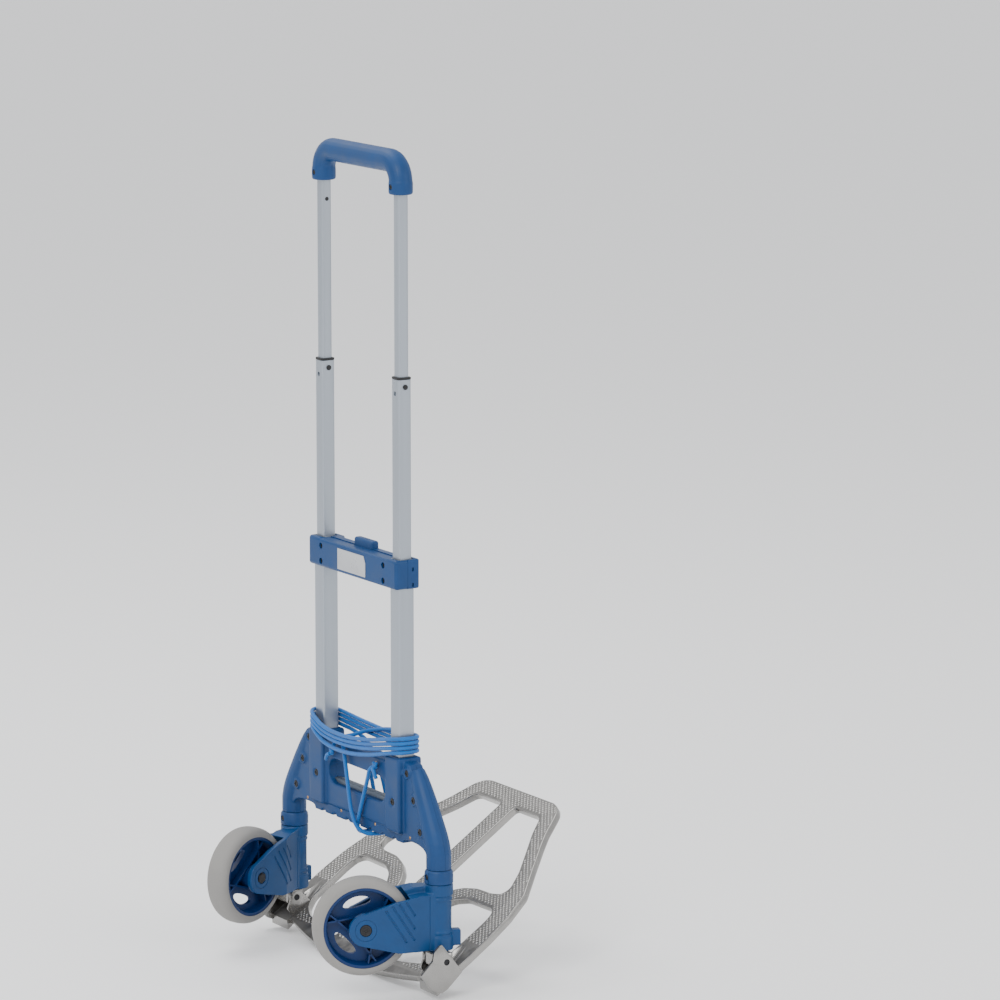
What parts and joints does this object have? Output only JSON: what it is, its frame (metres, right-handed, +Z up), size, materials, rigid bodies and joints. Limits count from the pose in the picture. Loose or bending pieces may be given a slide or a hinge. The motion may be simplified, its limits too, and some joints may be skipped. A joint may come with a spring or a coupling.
{
  "type": "folding hand truck",
  "caption": "Folding hand truck with a telescopic aluminium handle, swing-in wheels on moulded forks, a fold-up cast toe plate and an elastic load cord.",
  "frame": {"origin": "on the ground under the middle of the truck's outline, cord left out", "axes": "+Z up along the uprights, +X across to the truck's right seen from the wheel side, +Y from the wheels towards the toe plate"},
  "size_m": [0.444, 0.414, 1.1026],
  "materials": {
    "body_blue": "fine moulded grain, satin",
    "fork_blue": "fine moulded grain, satin",
    "rim_blue": "moulded, satin",
    "tyre_grey": "light grey, non-marking",
    "anodised_tube": "satin anodised, drawn",
    "cast_plate": "die cast, edges polished",
    "cast_foot": "die cast",
    "pin_steel": "turned, zinc plated",
    "black_fastener": "black oxide",
    "black_plastic": "moulded",
    "plate_blank": "blank printed film",
    "cord_blue": "braided elastic cord"
  },
  "bodies": {
    "frame": {"outer_tube_left": "anodised_tube", "outer_tube_right": "anodised_tube", "crossbar_rear_shell": "body_blue", "crossbar_front_shell": "body_blue", "crossbar_screw_upper_left": "black_fastener", "crossbar_screw_upper_right": "black_fastener", "crossbar_screw_lower_left": "black_fastener", "crossbar_screw_lower_right": "black_fastener", "data_plate": "plate_blank", "button_spring": "pin_steel", "base_rear_shell": "body_blue", "base_front_shell": "body_blue", "base_screw_left": "black_fastener", "base_screw_right": "black_fastener", "cross_strut": "anodised_tube", "leg_pin_left": "pin_steel", "leg_pin_right": "pin_steel", "leg_collar_left": "body_blue", "leg_collar_right": "body_blue", "collar_screw_left": "black_fastener", "collar_screw_right": "black_fastener", "hinge_foot_left": "cast_foot", "hinge_foot_right": "cast_foot", "hinge_pin_left": "black_fastener", "hinge_pin_right": "black_fastener", "elastic_cord": "cord_blue", "cord_knot_left": "cord_blue", "cord_knot_right": "cord_blue"},
    "middle_stage": {"middle_tube_left": "anodised_tube", "middle_tube_right": "anodised_tube", "stage_collar_left": "black_plastic", "stage_collar_right": "black_plastic", "collar_stud_left": "black_plastic", "collar_stud_right": "black_plastic"},
    "inner_stage": {"inner_tube_left": "anodised_tube", "inner_tube_right": "anodised_tube", "handle_screw_left": "black_fastener", "handle_screw_right": "black_fastener", "handle_grip": "body_blue"},
    "release_button": {"release_button": "body_blue"},
    "latch_left": {"latch_rod_left": "pin_steel"},
    "latch_right": {"latch_rod_right": "pin_steel"},
    "fork_left": {"fork_left": "fork_blue", "fork_bush_left": "black_plastic", "axle_bolt_left": "black_fastener", "axle_nut_left": "black_fastener"},
    "fork_right": {"fork_right": "fork_blue", "fork_bush_right": "black_plastic", "axle_bolt_right": "black_fastener", "axle_nut_right": "black_fastener"},
    "wheel_left": {"tyre_left": "tyre_grey", "rim_left": "rim_blue", "bearing_left": "pin_steel"},
    "wheel_right": {"tyre_right": "tyre_grey", "rim_right": "rim_blue", "bearing_right": "pin_steel"},
    "fold_links": {"fold_link_left": "pin_steel", "fold_link_right": "pin_steel"},
    "toe_plate": {"toe_plate": "cast_plate"}
  },
  "joints": [
    {"name": "middle_slide", "type": "slide", "parent": "frame", "child": "middle_stage", "axis": [0, 0, -1], "range_m": [0, 0.222]},
    {"name": "inner_slide", "type": "slide", "parent": "middle_stage", "child": "inner_stage", "axis": [0, 0, -1], "range_m": [0, 0.2345]},
    {"name": "button_press", "type": "slide", "parent": "frame", "child": "release_button", "axis": [0, 0, -1], "range_m": [0, 0.006], "stiffness_N_per_m": 900, "springref_m": -0.003, "deforming": ["button_spring"]},
    {"name": "latch_left_slide", "type": "slide", "parent": "frame", "child": "latch_left", "axis": [1, 0, 0], "range_m": [0, 0.006]},
    {"name": "latch_right_slide", "type": "slide", "parent": "frame", "child": "latch_right", "axis": [-1, 0, 0], "range_m": [0, 0.006]},
    {"name": "fold_hinge", "type": "hinge", "parent": "frame", "child": "fold_links", "pos_m": [0, -0.0526, 0.0503], "axis": [1, 0, 0], "range_deg": [-15.2, 45.5]},
    {"name": "plate_drop", "type": "hinge", "parent": "fold_links", "child": "toe_plate", "pos_m": [0, -0.0526, 0.0503], "axis": [1, 0, 0], "range_deg": [-19.3, 0]},
    {"name": "fork_left_swing", "type": "hinge", "parent": "frame", "child": "fork_left", "pos_m": [-0.192, -0.0466, 0.098], "axis": [0, 0, 1], "range_deg": [-20.05, 60.1]},
    {"name": "fork_right_swing", "type": "hinge", "parent": "frame", "child": "fork_right", "pos_m": [0.192, -0.0466, 0.098], "axis": [0, 0, -1], "range_deg": [-20.05, 60.1]},
    {"name": "wheel_left_spin", "type": "hinge", "parent": "fork_left", "child": "wheel_left", "pos_m": [-0.15711, -0.14245, 0.098], "axis": [-0.9397, -0.342, 0], "continuous": true},
    {"name": "wheel_right_spin", "type": "hinge", "parent": "fork_right", "child": "wheel_right", "pos_m": [0.15711, -0.14245, 0.098], "axis": [0.9397, -0.342, 0], "continuous": true}
  ],
  "couplings": [
    {"joint": "latch_left_slide", "follows": "button_press", "ratio": 1},
    {"joint": "latch_right_slide", "follows": "button_press", "ratio": 1},
    {"joint": "fork_left_swing", "follows": "fold_hinge", "ratio": 1.3187},
    {"joint": "fork_right_swing", "follows": "fold_hinge", "ratio": 1.3187}
  ]
}
